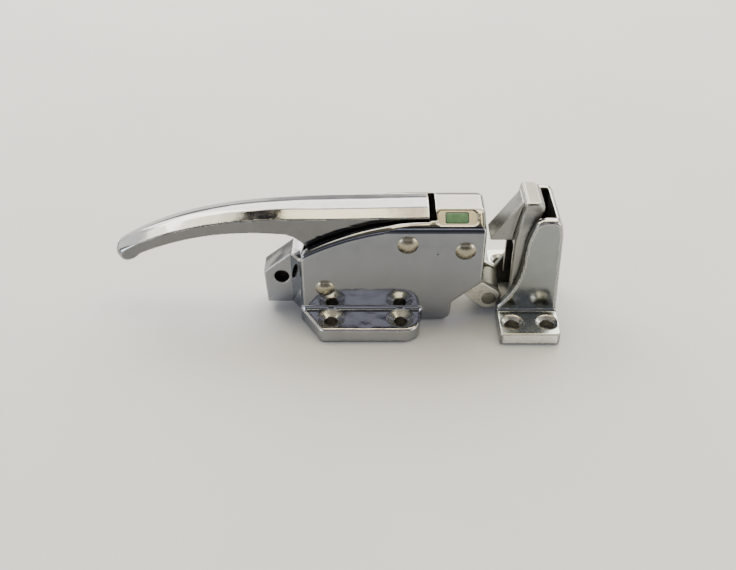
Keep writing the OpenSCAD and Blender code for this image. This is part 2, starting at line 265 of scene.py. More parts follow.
LEG = [(8, 49), (9.6, 34), (9.3, 22), (10.4, 18.2), (13.2, 15.8), (18.4, 15.8), (22.6, 19), (26, 18.6), (31.4, 18.6), (34, 21), (34, 35.6), (31.4, 39.6), (29, 41), (28.6, 49)]
FORK = [(-10, 0), (46, 0), (46, 34), (36, 34), (24, 36), (12, 33.4), (0, 30), (-10, 30)]
RELIEF = [(-27, 20), (5, 20), (5, 53.6), (-27, 53.0)]
SKIRT = [(-37.4, 50), (-36.9, 47.0), (-36.2, 46.4), (-34.4, 45.6), (-31.3, 43.1), (-28.2, 40.1), (-26, 38.4), (10, 46), (12, 52)]
TIP_X = -122.2


def sd_handle(x, y, z):
    ay = np.abs(y)
    zc, m = crest(x)
    cs = 1 / np.sqrt(1 + m * m)
    w = 10.8 - 3.0 * np.clip((-20 - x) / 101, 0, 1)
    f = 3.4 * np.interp(x, [-118, -105, -78, -30, 20], [0.15, 0.26, 0.53, 0.85, 1.0])
    k = 2.3 / (w - f)
    bevel = ((ay - f) * k + (z - zc)) / np.sqrt(1 + k * k + m * m)
    near_tip = smooth(-x, 110, 121)
    top = rmax((z - zc) * cs, bevel, 0.6 + 1.0 * near_tip)
    tip = -(x - TIP_X - 0.86) * 0.88 - (z - 32.2) * 0.47
    plan = rmax(ay - w, tip, 4.4)
    d = rmax(plan, (zc - depth(x) - z) * cs, 1.1 + 2.0 * near_tip)
    d = rmax(d, top, 0.7 + 1.9 * near_tip)
    skirt = rmax(poly(x, z, SKIRT), np.abs(ay - 9.2) - 1.6, 0.4)
    d = rmax(rmin(d, skirt, 1.2), ay - w, 0.3)
    d = rmax(d, x - 30, 0.7)
    d = cut(d, rmax(poly(x, z, RELIEF), ay - 7.6, 1.0), 0.6)
    leg = rmax(poly(x, z, LEG), ay - 7.8, 0.6)
    hub = rmax(np.hypot(x - A[0], z - A[1]) - 7.4, ay - 10.8, 0.4)
    d = rmax(rmin(d, rmin(leg, hub, 0.8), 0.8), ay - 10.8, 0.3)
    d = cut(d, rmax(poly(x, z, FORK), ay - 4.7, 0.5), 0.5)
    d = cut(d, np.hypot(x - A[0], z - A[1]) - 4.54, 0.2)
    d = cut(d, np.hypot(x - S[0], z - S[1]) - 4.04, 0.2)
    t = np.clip((z - 25) / 8.7, 0, 1)
    d = cut(d, np.hypot(x - (P[0] - 1.0 * t), z - (25 + 8.7 * t)) - 3.6, 0.25)
    return d


STRIKE_SIDE = ([(64.6, -4), (64.6, 8.2), (66.6, 10.8), (68.6, 13.8), (70.2, 16.6), (71.6, 19.4), (72.9, 22.6), (73.7, 25.4), (74.3, 28.4), (74.8, 32), (75.1, 35.6), (75.4, 42), (75.8, 45.4), (76.5, 48.8), (77.3, 51.6), (78.2, 54.2)]
    + arc((84.4, 52.6), 6.4, 160, 90, 10) + arc((87.2, 54.4), 4.6, 90, 15, 8) + [(92.6, 50), (94.8, -4)])
STRIKE_FOOT = [(64.6, -13), (64.6, -33.9), (66, -35.3), (92.6, -35.3), (94, -33.9), (94.8, -13)]
STRIKE_HOLLOW = [(40, -9), (81, -9), (81, 6), (88.9, 6), (88.9, 99), (40, 99)]


def sd_strike(x, y, z):
    ay = np.abs(y)
    d = rmax(poly(x, z, STRIKE_SIDE), ay - 17, 1.9)
    d = rmin(d, rmax(poly(x, -ay, STRIKE_FOOT), z - 6.2, 0.9), 2.0)
    d = rmax(rmax(d, 64.65 - x, 0.6), x - 94.7 + 0.03 * np.maximum(z, 0), 0.6)
    d = rmax(d, -z, 0.35)
    d = cut(d, rmax(poly(x, z, STRIKE_HOLLOW), ay - 13, 1.2), 0.8)
    for sx in (71.5, 88.5):
        rr = np.hypot(x - sx, ay - 26)
        d = cut(d, np.minimum(rr - 3.5, np.maximum(((rr - 3.5) * 0.84 - (z - 4.52)) * 0.766, rr - 5.7)), 0.35)
    rr = np.hypot(x - SCREW_X, y)
    d = cut(d, rr - 2.04, 0.1)
    d = cut(d, np.maximum(rr - 4.4, z - 2.6), 0.2)
    return d


NOSE = [(60.2, 41), (59.95, 42.4), (73.6, 62.4), (77, 62.4), (77, 41)]
HOOK_SIDE = [(70.6, 10), (70.6, 40), (71.0, 45), (71.8, 50), (72.8, 55), (73.7, 59), (74.2, 62.6), (74.5, 63.7), (75.1, 64.3), (75.9, 64.5), (80.4, 64.5), (81.6, 64.3), (82.7, 63.6), (83.5, 62.6), (83.8, 61.6), (83.6, 60), (82.4, 57.4), (81.0, 54.8), (80.4, 51.6), (80.4, 10)]
HOOK_POCKET = [(60, 0), (60, 40.6), (77.2, 40.6), (77.2, 0)]
LUG = [(79, 24), (79, 34), (88.4, 34), (88.4, 24)]


def sd_hook(x, y, z):
    ay = np.abs(y)
    hw = 12.55 - 2.15 * smooth(z, 50, 61)
    side = rmax(poly(x, z, HOOK_SIDE), (ay - hw) * 0.985, 1.5)
    side = rmax(side, (x + ay - 91.2 - 0.7 * np.maximum(64.5 - z, 0)) * 0.66, 1.2)
    side = cut(side, rmax(poly(x, z, HOOK_POCKET), ay - 9.8, 1.2), 0.6)
    lug = rmax(poly(x, z, LUG), ay - 6.5, 0.6)
    nose = rmax(poly(x, z, NOSE), ay - 6, 0.55)
    d = rmin(rmin(side, lug, 0.8), nose, 0.8)
    return cut(d, np.hypot(x - SCREW_X, y) - 2.54, 0.15)


# ---------------------------------------------------------------- turned and pressed pieces


def lathe(profile, axis_at, turn, n=72):
    """Closed surface of revolution. profile is (radius, along) from axis to axis; turn maps (r cos, along, r sin) to the frame."""
    prof = np.array(profile, float)
    ang = np.arange(n) * 2 * math.pi / n
    pts = []
    inner = prof[1:-1]
    pts.append((0.0, prof[0, 1], 0.0))
    for r, a in inner:
        for t in ang:
            pts.append((r * math.cos(t), a, r * math.sin(t)))
    pts.append((0.0, prof[-1, 1], 0.0))
    faces = []
    last = len(pts) - 1
    for j in range(n):
        faces.append((0, 1 + (j + 1) % n, 1 + j))
    for i in range(len(inner) - 1):
        for j in range(n):
            a, b = 1 + i * n + j, 1 + i * n + (j + 1) % n
            faces.append((a, b, b + n, a + n))
    base = 1 + (len(inner) - 1) * n
    for j in range(n):
        faces.append((last, base + j, base + (j + 1) % n))
    return np.array([turn(p) for p in pts]) + np.array(axis_at), faces


def ring_lathe(profile, axis_at, turn, n=72):
    """Closed ring of revolution: profile is a closed loop that doesn't touch the axis."""
    ang = np.arange(n) * 2 * math.pi / n
    k = len(profile)
    pts = [(r * math.cos(t), a, r * math.sin(t)) for r, a in profile for t in ang]
    faces = []
    for i in range(k):
        i2 = (i + 1) % k
        for j in range(n):
            j2 = (j + 1) % n
            faces.append((i * n + j, i * n + j2, i2 * n + j2, i2 * n + j))
    return np.array([turn(p) for p in pts]) + np.array(axis_at), faces


def poly_object(name, pts, faces, sharp_deg=40):
    me = bpy.data.meshes.new(name)
    me.from_pydata([tuple(np.asarray(p) * MM) for p in pts], [], [tuple(int(i) for i in f) for f in faces])
    me.validate()
    bm = bmesh.new()
    bm.from_mesh(me)
    bmesh.ops.recalc_face_normals(bm, faces=bm.faces)
    for f in bm.faces:
        f.smooth = True
    lim = math.radians(sharp_deg)
    for e in bm.edges:
        e.smooth = len(e.link_faces) == 2 and e.calc_face_angle(0) < lim
    bm.to_mesh(me)
    bm.free()
    ob = bpy.data.objects.new(name, me)
    bpy.context.scene.collection.objects.link(ob)
    return ob


along_y = lambda p: (p[0], p[1], p[2])


def rounded(profile, r, n=4):
    """Rounds the corners of an open (radius, along) profile."""
    out = [profile[0]]
    for i in range(1, len(profile) - 1):
        p0, p1, p2 = (np.array(profile[j], float) for j in (i - 1, i, i + 1))
        a, b = p0 - p1, p2 - p1
        la, lb = np.linalg.norm(a), np.linalg.norm(b)
        t = min(r, la * 0.45, lb * 0.45)
        if t < 1e-6:
            out.append(tuple(p1))
            continue
        s, e = p1 + a / la * t, p1 + b / lb * t
        for q in range(n + 1):
            u = q / n
            out.append(tuple((1 - u) ** 2 * s + 2 * u * (1 - u) * p1 + u * u * e))
    out.append(profile[-1])
    return out


def rivet(name, node, c, r, head_r, head_h, hw, dish):
    """Rivet with a domed head on each side; the crown has a faint flat from the setting tool."""
    dome = []
    rs = (head_r ** 2 + head_h ** 2) / (2 * head_h)
    n = 16
    top = math.asin(head_r / rs)
    for i in range(n + 1):
        a = top * i / n
        rr, hh = rs * math.sin(a), rs * math.cos(a) - (rs - head_h)
        if rr < 1.4:
            hh -= dish * (1 - (rr / 1.4) ** 2)
        dome.append((rr, hh))
    near = [(rr, -hw - hh) for rr, hh in dome]
    prof = near[:-1] + [(head_r - 0.02, -hw - 0.12), (head_r - 0.16, -hw), (r, -hw)]
    full = prof + [(rr, -a) for rr, a in reversed(prof)]
    pts, faces = lathe(full, (c[0], 0, c[1]), along_y, 80)
    ob = poly_object(name, pts, faces, 50)
    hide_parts(node)
    return ob


def tangent_outline(circles, n=26):
    """Outline of circles joined by outer tangents, counter-clockwise; each entry is (centre, radius)."""
    out = []
    m = len(circles)
    angs = []
    for i in range(m):
        (c1, r1), (c2, r2) = circles[i], circles[(i + 1) % m]
        d = math.hypot(c2[0] - c1[0], c2[1] - c1[1])
        angs.append(math.atan2(c2[1] - c1[1], c2[0] - c1[0]) - math.acos((r1 - r2) / d))
    for i in range(m):
        a0, a1 = angs[i - 1], angs[i]
        while a1 < a0:
            a1 += 2 * math.pi
        c, r = circles[i]
        for k in range(n + 1):
            a = a0 + (a1 - a0) * k / n
            out.append((c[0] + r * math.cos(a), c[1] + r * math.sin(a)))
    return out


def sd_plate(y0, y1):
    crank = tangent_outline([(B, 8.0), (P, 5.4), (KNEE, 5.0)], 18)
    arm = tangent_outline([(KNEE, 5.0), (R, 6.2)], 18)

    def f(x, y, z):
        d = rmax(rmin(poly(x, z, crank), poly(x, z, arm), 2.0), np.abs(y - (y0 + y1) / 2) - (y1 - y0) / 2, 0.45)
        for c, r in ((B, 5.04), (P, 3.04), (R, 2.79)):
            d = cut(d, np.hypot(x - c[0], z - c[1]) - r, 0.12)
        return d
    return f


FACES = {}
BEND = {}


def cast(name, node, body, f, h):
    lo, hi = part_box(node)
    pos, quads, nor = net(f, [v / MM for v in lo], [v / MM for v in hi], h)
    ob = mesh_object(name, pos, quads, nor)
    pq, nq = pos[quads], nor[quads]
    mid, mean = pq.mean(1), nq.mean(1)
    dp, dn = pq - mid[:, None], nq - mean[:, None]
    FACES[ob.name] = (mid, mean)
    BEND[ob.name] = (dp * dn).sum((1, 2)) / np.maximum((dp * dp).sum((1, 2)), 1e-6)
    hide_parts(node)
    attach(ob, body)
    return ob


housing = cast("housing_casting", "housing", "latch", sd_housing, 0.56)
handle = cast("handle_casting", "handle", "handle", sd_handle, 0.5)
strike = cast("strike_casting", "strike_body", "strike", sd_strike, 0.5)
hook = cast("hook_casting", "strike_hook", "hook", sd_hook, 0.42)
plate_front = cast("bolt_cheek_front", "bolt_plate_front", "bolt", sd_plate(-11.5, -8.3), 0.4)
plate_rear = cast("bolt_cheek_rear", "bolt_plate_rear", "bolt", sd_plate(8.3, 11.5), 0.4)

rivets = []
for nm, node, c, r, hr, hh in (("handle_rivet", "handle_pivot_pin", A, 3.5, 5.0, 2.4), ("bolt_rivet", "bolt_pivot_pin", B, 3.5, 5.0, 2.4), ("anchor_rivet", "spring_anchor_pin", T, 3.0, 4.7, 2.3)):
    ob = rivet(nm, node, c, r, hr, hh, 17, 0.10)
    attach(ob, "latch")
    rivets.append(ob)

hw = 7.9
pts, faces = ring_lathe([(2.79, -hw), (5.0, -hw), (5.35, -hw + 0.1), (5.65, -hw + 0.35), (5.8, -hw + 0.75)]
    + [(5.8 - (0.05 if i in (3, 7, 11) else 0.0), -hw + 0.75 + (2 * hw - 1.5) * i / 14) for i in range(1, 14)]
    + [(5.8, hw - 0.75), (5.65, hw - 0.35), (5.35, hw - 0.1), (5.0, hw), (2.79, hw)], (R[0], 0, R[1]), along_y, 96)
roller = poly_object("roller_drum", pts, faces, 38)
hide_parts("roller")
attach(roller, "roller")

prof = [(0, -12.05), (1.2, -12.1), (2.6, -12.06), (3.2, -11.95), (3.5, -11.78), (3.6, -11.62), (3.6, -11.5), (2.75, -11.5)]
pts, faces = lathe(prof + [(r, -a) for r, a in reversed(prof)], (R[0], 0, R[1]), along_y, 64)
roller_pin = poly_object("roller_axle", pts, faces, 50)
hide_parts("roller_pin")
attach(roller_pin, "bolt")

# spring: a round wire on the guide rod, end turns closed
WIRE, COIL, TURNS = 1.4, 3.6, 7
l0, l1 = 10 + WIRE / 2 + 0.02, ROD_L - 5 - WIRE / 2 - 0.02
ex, ez = (math.cos(ROD_A), math.sin(ROD_A)), (-math.sin(ROD_A), math.cos(ROD_A))
rings, sides = TURNS * 40, 14
pts, faces = [], []
for k in range(rings + 1):
    t = k / 40
    a = 2 * math.pi * t
    if t < 1:
        u = t * 0.072
    elif t > TURNS - 1:
        u = 1 - (TURNS - t) * 0.072
    else:
        u = 0.072 + (t - 1) / (TURNS - 2) * 0.856
    x = l0 + (l1 - l0) * u
    for j in range(sides):
        b = 2 * math.pi * j / sides
        rr = COIL + WIRE / 2 * math.cos(b)
        q, yy, zz = x + WIRE / 2 * math.sin(b), rr * math.cos(a), rr * math.sin(a)
        pts.append((T[0] + q * ex[0] + zz * ez[0], yy, T[1] + q * ex[1] + zz * ez[1]))
for k in range(rings):
    for j in range(sides):
        j2 = (j + 1) % sides
        faces.append((k * sides + j, (k + 1) * sides + j, (k + 1) * sides + j2, k * sides + j2))
faces.append(tuple(range(sides)))
faces.append(tuple(rings * sides + sides - 1 - j for j in range(sides)))
spring = poly_object("return_spring", pts, faces, 60)
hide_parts("spring")
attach(spring, "spring_rod")

# green insert: slightly crowned tile with soft edges
pts, faces = [], []
c, s = math.cos(TILT), math.sin(TILT)
outline = []
for cx, cy, a0 in ((4.35, 1.95, 0), (-4.35, 1.95, 90), (-4.35, -1.95, 180), (4.35, -1.95, 270)):
    outline += arc((cx, cy), 0.88, a0, a0 + 90, 6)
levels = [(1.0, -1.4), (1.0, -0.72), (0.985, -0.6), (0.955, -0.52), (0.90, -0.48), (0.70, -0.44), (0.35, -0.42)]
n = len(outline)
for sc, lz in levels:
    for px, py in outline:
        ux, uy = px * sc, py * (sc if sc > 0.96 else sc * 0.98)
        pts.append((PANEL[0] + ux, PANEL[1] + uy * c - lz * s, PANEL[2] + uy * s + lz * c))
for i in range(len(levels) - 1):
    for j in range(n):
        j2 = (j + 1) % n
        faces.append((i * n + j, i * n + j2, (i + 1) * n + j2, (i + 1) * n + j))
faces.append(tuple(range(n)))
faces.append(tuple((len(levels) - 1) * n + j for j in range(n)))
badge = poly_object("green_insert", pts, faces, 60)
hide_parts("badge")
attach(badge, "latch")

# ---------------------------------------------------------------- materials


class Nodes:
    def __init__(self, name):
        self.mat = bpy.data.materials.new(name)
        self.mat.use_nodes = True
        self.t = self.mat.node_tree
        self.t.nodes.clear()
        self.out = self.t.nodes.new("ShaderNodeOutputMaterial")
        self.b = self.t.nodes.new("ShaderNodeBsdfPrincipled")
        self.t.links.new(self.b.outputs[0], self.out.inputs[0])
        self.co = self.t.nodes.new("ShaderNodeTexCoord").outputs["Object"]

    def new(self, kind, **kw):
        n = self.t.nodes.new(kind)
        for k, v in kw.items():
            setattr(n, k, v)
        return n

    def link(self, a, b):
        self.t.links.new(a, b)

    def mapped(self, scale, rot=(0, 0, 0), loc=(0, 0, 0)):
        m = self.new("ShaderNodeMapping")
        m.inputs["Scale"].default_value = scale
        m.inputs["Rotation"].default_value = rot
        m.inputs["Location"].default_value = loc
        self.link(self.co, m.inputs[0])
        return m.outputs[0]

    def noise(self, vec, scale, detail=3.0, rough=0.5, dist=0.0):
        n = self.new("ShaderNodeTexNoise")
        n.inputs["Scale"].default_value = scale
        n.inputs["Detail"].default_value = detail
        n.inputs["Roughness"].default_value = rough
        n.inputs["Distortion"].default_value = dist
        self.link(vec, n.inputs["Vector"])
        return n.outputs["Fac"]

    def ramp(self, fac, stops):
        r = self.new("ShaderNodeValToRGB")
        e = r.color_ramp.elements
        while len(e) < len(stops):
            e.new(0.5)
        for el, (p, col) in zip(e, stops):
            el.position = p
            el.color = col if len(col) == 4 else (*col, 1)
        self.link(fac, r.inputs[0])
        return r.outputs[0]

    def span(self, fac, lo, hi, a, b):
        m = self.new("ShaderNodeMapRange")
        m.inputs["From Min"].default_value = lo
        m.inputs["From Max"].default_value = hi
        m.inputs["To Min"].default_value = a
        m.inputs["To Max"].default_value = b
        self.link(fac, m.inputs["Value"])
        return m.outputs[0]

    def math(self, op, a, b=None):
        m = self.new("ShaderNodeMath", operation=op)
        for i, v in enumerate((a, b)):
            if v is None:
                continue
            if isinstance(v, (int, float)):
                m.inputs[i].default_value = v
            else:
                self.link(v, m.inputs[i])
        return m.outputs[0]

    def mix(self, fac, a, b, blend="MIX"):
        m = self.new("ShaderNodeMix", data_type="RGBA", blend_type=blend)
        for sock, v in ((m.inputs[0], fac), (m.inputs[6], a), (m.inputs[7], b)):
            if isinstance(v, (int, float)):
                sock.default_value = v
            elif isinstance(v, tuple):
                sock.default_value = v if len(v) == 4 else (*v, 1)
            else:
                self.link(v, sock)
        return m.outputs[2]

    def bump(self, height, strength, distance, under=None):
        b = self.new("ShaderNodeBump")
        b.inputs["Strength"].default_value = strength
        b.inputs["Distance"].default_value = distance
        self.link(height, b.inputs["Height"])
        if under is not None:
            self.link(under, b.inputs["Normal"])
        return b.outputs[0]


def g(v):
    return (v, v, v)


def chrome(name, tone=(0.325, 0.33, 0.345), rough=(0.045, 0.13), wave=0.5, wear=0.6, low=0.0):
    """Polished plate over a zinc casting: foundry waviness, hairline polish marks, pin holes, and duller worn edges."""
    m = Nodes(name)
    m.b.inputs["Metallic"].default_value = 1.0
    big = m.noise(m.mapped((1, 1, 1)), 45, 2.0, 0.5)
    haze = m.noise(m.mapped((1, 1, 1), loc=(3, 1, 2)), 160, 4.0, 0.6)
    fine = m.noise(m.mapped((60, 900, 900), rot=(0, 0.06, 0.03)), 1.0, 3.0, 0.65)
    cross = m.noise(m.mapped((700, 700, 45), rot=(0.2, 0, 0.5)), 1.0, 2.0, 0.6)
    vor = m.new("ShaderNodeTexVoronoi", feature="F1")
    vor.inputs["Scale"].default_value = 150
    m.link(m.mapped((1, 1, 1)), vor.inputs["Vector"])
    seed = m.noise(m.mapped((1, 1, 1), loc=(7, 7, 7)), 150, 1.0)
    pit = m.math("MULTIPLY", m.span(vor.outputs["Distance"], 0.03, 0.10, 1.0, 0.0), m.span(seed, 0.60, 0.68, 0.0, 1.0))
    geo = m.new("ShaderNodeNewGeometry")
    edge = m.span(geo.outputs["Pointiness"], 0.52, 0.60, 0.0, 1.0)
    edge = m.math("MULTIPLY", edge, m.span(haze, 0.38, 0.62, 0.1, 1.0))
    t = tone
    col = m.ramp(haze, [(0.25, tuple(0.90 * v for v in t)), (0.75, tuple(min(1, 1.06 * v) for v in t))])
    # lighter towards the bottom: painted light that offsets the shade of the floor the lower faces mirror
    if low:
        xyz = m.new("ShaderNodeSeparateXYZ")
        m.link(m.co, xyz.inputs[0])
        col = m.mix(m.span(xyz.outputs[2], 0.006, 0.045, low, 0.0), col, tuple(min(1, 1.55 * v) for v in t))
    col = m.mix(m.math("MULTIPLY", edge, wear * 0.45), col, (0.66, 0.645, 0.60))
    col = m.mix(m.math("MULTIPLY", pit, 0.8), col, (0.06, 0.055, 0.05))
    m.link(col, m.b.inputs["Base Color"])
    r = m.span(haze, 0.3, 0.75, rough[0], rough[1])
    r = m.math("ADD", r, m.span(fine, 0.5, 0.8, 0.0, 0.07))
    r = m.math("ADD", r, m.math("MULTIPLY", edge, 0.10 * wear))
    r = m.math("ADD", r, m.math("MULTIPLY", pit, 0.4))
    m.link(r, m.b.inputs["Roughness"])
    n = m.bump(big, 0.20 * wave, 0.0022)
    n = m.bump(haze, 0.05 * wave, 0.0006, n)
    n = m.bump(m.math("ADD", fine, cross), 0.035, 0.0001, n)
    n = m.bump(m.math("MULTIPLY", pit, -1.0), 0.5, 0.00015, n)
    m.link(n, m.b.inputs["Normal"])
    return m.mat


def plated(name, tone, rough=(0.2, 0.36), spots=(0.2, 0.17, 0.11), spotty=0.35, lay=(40, 500, 500)):
    """Plated or turned steel with a directional grain and faint stains."""
    m = Nodes(name)
    m.b.inputs["Metallic"].default_value = 1.0
    cloud = m.noise(m.mapped((1, 1, 1), loc=(5, 2, 1)), 210, 5.0, 0.62, 0.4)
    grain = m.noise(m.mapped(lay), 1.0, 4.0, 0.6)
    speck = m.noise(m.mapped((1, 1, 1), loc=(1, 9, 4)), 900, 3.0, 0.7)
    geo = m.new("ShaderNodeNewGeometry")
    edge = m.span(geo.outputs["Pointiness"], 0.52, 0.62, 0.0, 1.0)
    col = m.ramp(cloud, [(0.28, tuple(0.80 * v for v in tone)), (0.52, tone), (0.78, tuple(min(1, 1.12 * v) for v in tone))])
    col = m.mix(m.math("MULTIPLY", m.span(cloud, 0.56, 0.75, 0.0, 1.0), spotty), col, spots)
    col = m.mix(m.math("MULTIPLY", edge, 0.35), col, tuple(min(1, 1.35 * v) for v in tone))
    m.link(col, m.b.inputs["Base Color"])
    r = m.math("ADD", m.span(cloud, 0.3, 0.7, rough[0], rough[1]), m.span(grain, 0.4, 0.7, 0.0, 0.08))
    m.link(r, m.b.inputs["Roughness"])
    n = m.bump(grain, 0.10, 0.00012)
    n = m.bump(speck, 0.10, 0.00008, n)
    m.link(n, m.b.inputs["Normal"])
    return m.mat


def cast_skin(name, tone, rough=(0.42, 0.62), metal=1.0, shine=0.5):
    """Unpolished casting or drilled surface: dull, grainy and a little stained."""
    m = Nodes(name)
    m.b.inputs["Metallic"].default_value = metal
    m.b.inputs["Specular IOR Level"].default_value = shine
    cloud = m.noise(m.mapped((1, 1, 1), loc=(4, 4, 1)), 240, 5.0, 0.65, 0.3)
    grain = m.noise(m.mapped((1, 1, 1), loc=(2, 8, 3)), 1500, 3.0, 0.7)
    col = m.ramp(cloud, [(0.28, tuple(0.62 * v for v in tone)), (0.55, tone), (0.8, tuple(min(1, 1.25 * v) for v in tone))])
    m.link(col, m.b.inputs["Base Color"])
    m.link(m.span(cloud, 0.3, 0.7, rough[0], rough[1]), m.b.inputs["Roughness"])
    n = m.bump(cloud, 0.25, 0.0004)
    n = m.bump(grain, 0.25, 0.0001, n)
    m.link(n, m.b.inputs["Normal"])
    return m.mat


def insert_green(name):
    m = Nodes(name)
    cloud = m.noise(m.mapped((1, 1, 1)), 260, 4.0, 0.6)
    grit = m.noise(m.mapped((1, 1, 1), loc=(2, 5, 3)), 2400, 3.0, 0.7)
    col = m.ramp(cloud, [(0.25, (0.024, 0.078, 0.034)), (0.55, (0.044, 0.115, 0.052)), (0.8, (0.082, 0.162, 0.082))])
    col = m.mix(m.span(grit, 0.60, 0.76, 0.0, 0.25), col, (0.16, 0.24, 0.15))
    m.link(col, m.b.inputs["Base Color"])
    m.link(m.span(cloud, 0.3, 0.7, 0.34, 0.55), m.b.inputs["Roughness"])
    m.b.inputs["Specular IOR Level"].default_value = 0.28
    n = m.bump(cloud, 0.2, 0.0004)
    n = m.bump(grit, 0.12, 0.00008, n)
    m.link(n, m.b.inputs["Normal"])
    return m.mat


MAT = {
    "body": chrome("chrome_body", tone=(0.203, 0.214, 0.238), low=1.0),
    "ear": chrome("chrome_ear", tone=(0.236, 0.247, 0.268), rough=(0.06, 0.15), wave=0.8, low=1.0),
    "ear_slope": chrome("chrome_ear_slope", tone=(0.190, 0.193, 0.194), rough=(0.10, 0.22), wave=4.0),
    "flange_edge": chrome("chrome_flange_edge", tone=(0.36, 0.375, 0.40), rough=(0.06, 0.16)),
    "body_top": chrome("chrome_body_top", tone=(0.236, 0.229, 0.208)),
    "panel": chrome("chrome_panel", tone=(0.200, 0.193, 0.165), rough=(0.14, 0.26)),
    "hook_rim": chrome("chrome_hook_rim", tone=(0.35, 0.345, 0.32), rough=(0.34, 0.50), wave=1.2),
    "hook_top": chrome("chrome_hook_top", tone=(0.180, 0.175, 0.155), rough=(0.34, 0.54), wave=1.8),
    "handle": chrome("chrome_handle", tone=(0.262, 0.264, 0.272), rough=(0.05, 0.14), wave=0.6),
    "strike": chrome("chrome_strike", tone=(0.245, 0.262, 0.268), rough=(0.11, 0.22), wave=0.4, wear=0.9),
    "strike_low": chrome("chrome_foot", tone=(0.84, 0.86, 0.85), rough=(0.22, 0.36), wave=0.6, wear=0.9),
    "strike_top": chrome("chrome_foot_top", tone=(0.40, 0.42, 0.40), rough=(0.20, 0.36), wave=1.6, wear=0.9),
    "handle_side": chrome("chrome_handle_side", tone=(0.160, 0.162, 0.167), rough=(0.07, 0.17), wave=0.6),
    "hook": chrome("chrome_hook", tone=(0.262, 0.264, 0.258), rough=(0.22, 0.40), wave=1.8, wear=1.0),
    "flange": chrome("chrome_flange", tone=(0.44, 0.425, 0.425), rough=(0.08, 0.20), wave=3.4),
    "rim": chrome("chrome_rim_painted_highlight", tone=(0.42, 0.415, 0.40), rough=(0.20, 0.34), wave=0.5, wear=0.8),
    "rivet": plated("nickel_rivet", (0.328, 0.300, 0.230), (0.19, 0.31), spotty=0.5, lay=(500, 60, 500)),
    "steel": plated("zinc_steel", (0.76, 0.74, 0.665), (0.22, 0.38), spotty=0.3),
    "roller": plated("roller_steel", (0.160, 0.157, 0.134), (0.48, 0.62), spotty=0.4, lay=(400, 30, 400)),
    "axle": plated("axle_steel", (0.22, 0.212, 0.180), (0.26, 0.42), spotty=0.5, lay=(300, 300, 300)),
    "bronze": plated("sintered_bronze", (0.46, 0.31, 0.155), (0.30, 0.45), spots=(0.16, 0.09, 0.04)),
    "spring": plated("spring_steel", (0.20, 0.20, 0.21), (0.25, 0.42), spots=(0.10, 0.06, 0.03)),
    "badge": insert_green("green_enamel"),
    "ascast_shade": cast_skin("zinc_as_cast_painted_shade", (0.085, 0.085, 0.08)),
    "lip": chrome("chrome_lip_painted_highlight", tone=(0.72, 0.715, 0.69), rough=(0.24, 0.38), wear=0.8),
    "eye": cast_skin("eye_painted_shade", (0.010, 0.009, 0.008), (0.45, 0.60), 0.0, 0.0),
    "bore": cast_skin("drilled_zinc", (0.26, 0.25, 0.225), (0.36, 0.52)),
    "edge": cast_skin("cast_edge_painted_shade", (0.135, 0.14, 0.135), (0.28, 0.42)),
    "turned": plated("turned_zinc", (0.74, 0.73, 0.69), (0.16, 0.28), spotty=0.3, lay=(600, 600, 60)),
}


def paint(ob, key):
    ob.data.materials.clear()
    ob.data.materials.append(MAT[key])


for ob, key in ((housing, "body"), (handle, "handle"), (strike, "strike"), (hook, "hook"), (plate_front, "steel"), (plate_rear, "steel"),
        (roller, "roller"), (roller_pin, "axle"), (spring, "spring"), (badge, "badge")):
    paint(ob, key)
for ob in rivets:
    paint(ob, "rivet")


def zone(ob, mask, key):
    """Gives the faces in mask another finish."""
    me = ob.data
    me.materials.append(MAT[key])
    idx = np.zeros(len(me.polygons), np.int32)
    me.polygons.foreach_get("material_index", idx)
    idx[mask] = len(me.materials) - 1
    me.polygons.foreach_set("material_index", idx)
    me.update()


def near_axis(c, u, v, at, r):
    return np.hypot(c[:, u] - at[0], c[:, v] - at[1]) < r


# broken edges are duller than the faces, and a lighter copy of the chrome on them is a painted highlight
c, nn = FACES[housing.name]
ly, lz = panel_axes(c[:, 1], c[:, 2])
BEND[housing.name][(np.abs(c[:, 0] - PANEL[0]) < 10.2) & (np.abs(ly) < 5.2) & (c[:, 1] < 0)] = 0
BEND[housing.name][(c[:, 2] > 35) & (nn[:, 2] > 0.2) & (c[:, 0] < 33)] = 0
for ob, lim in ((housing, 0.24), (handle, 0.28), (strike, 0.19)):
    zone(ob, BEND[ob.name] > lim, "rim")

# housing: the hollow is left as cast and painted very dark, a painted shade for its shadowed inside; the drilled holes
# are dull, and the countersinks are turned
c, nn = FACES[housing.name]
ay = np.abs(c[:, 1])
inside = (ay < 12.35) & (c[:, 0] > -29.5) & (c[:, 0] < 56.2) & (nn[:, 2] < 0.75) & (c[:, 2] < 56)
inside &= ~((nn[:, 0] > 0.8) & (c[:, 0] > 56))
# the top faces get a lighter, warmer copy of the chrome: painted light for the cream light they mirror
zone(housing, (nn[:, 2] > 0.6) & (c[:, 2] > 50) & (BEND[housing.name] < 0.24), "body_top")
# the flange's top faces get a lighter copy of the chrome: painted light
zone(housing, (nn[:, 2] > 0.93) & (c[:, 2] < 8.2) & (ay > 18.8), "flange")
# the flange's low outer edges get a lighter copy of the chrome: painted light against the shade of the floor they
# mirror
zone(housing, (np.abs(nn[:, 2]) < 0.35) & (c[:, 2] < 6.6) & (ay > 19.5), "flange_edge")
ly, lz = panel_axes(c[:, 1], c[:, 2])
# the panel's recess floor gets a warm tint: a painted reflection of the cream light
zone(housing, (np.abs(c[:, 0] - PANEL[0]) < 9.2) & (np.abs(ly) < 4.1) & (lz < -0.35) & (lz > -0.7) & (c[:, 1] < 0), "panel")
# the ear's flat sides get a slightly lighter copy of the chrome: painted light
zone(housing, (np.abs(nn[:, 1]) > 0.93) & (c[:, 0] < -33) & (ay < 9), "ear")
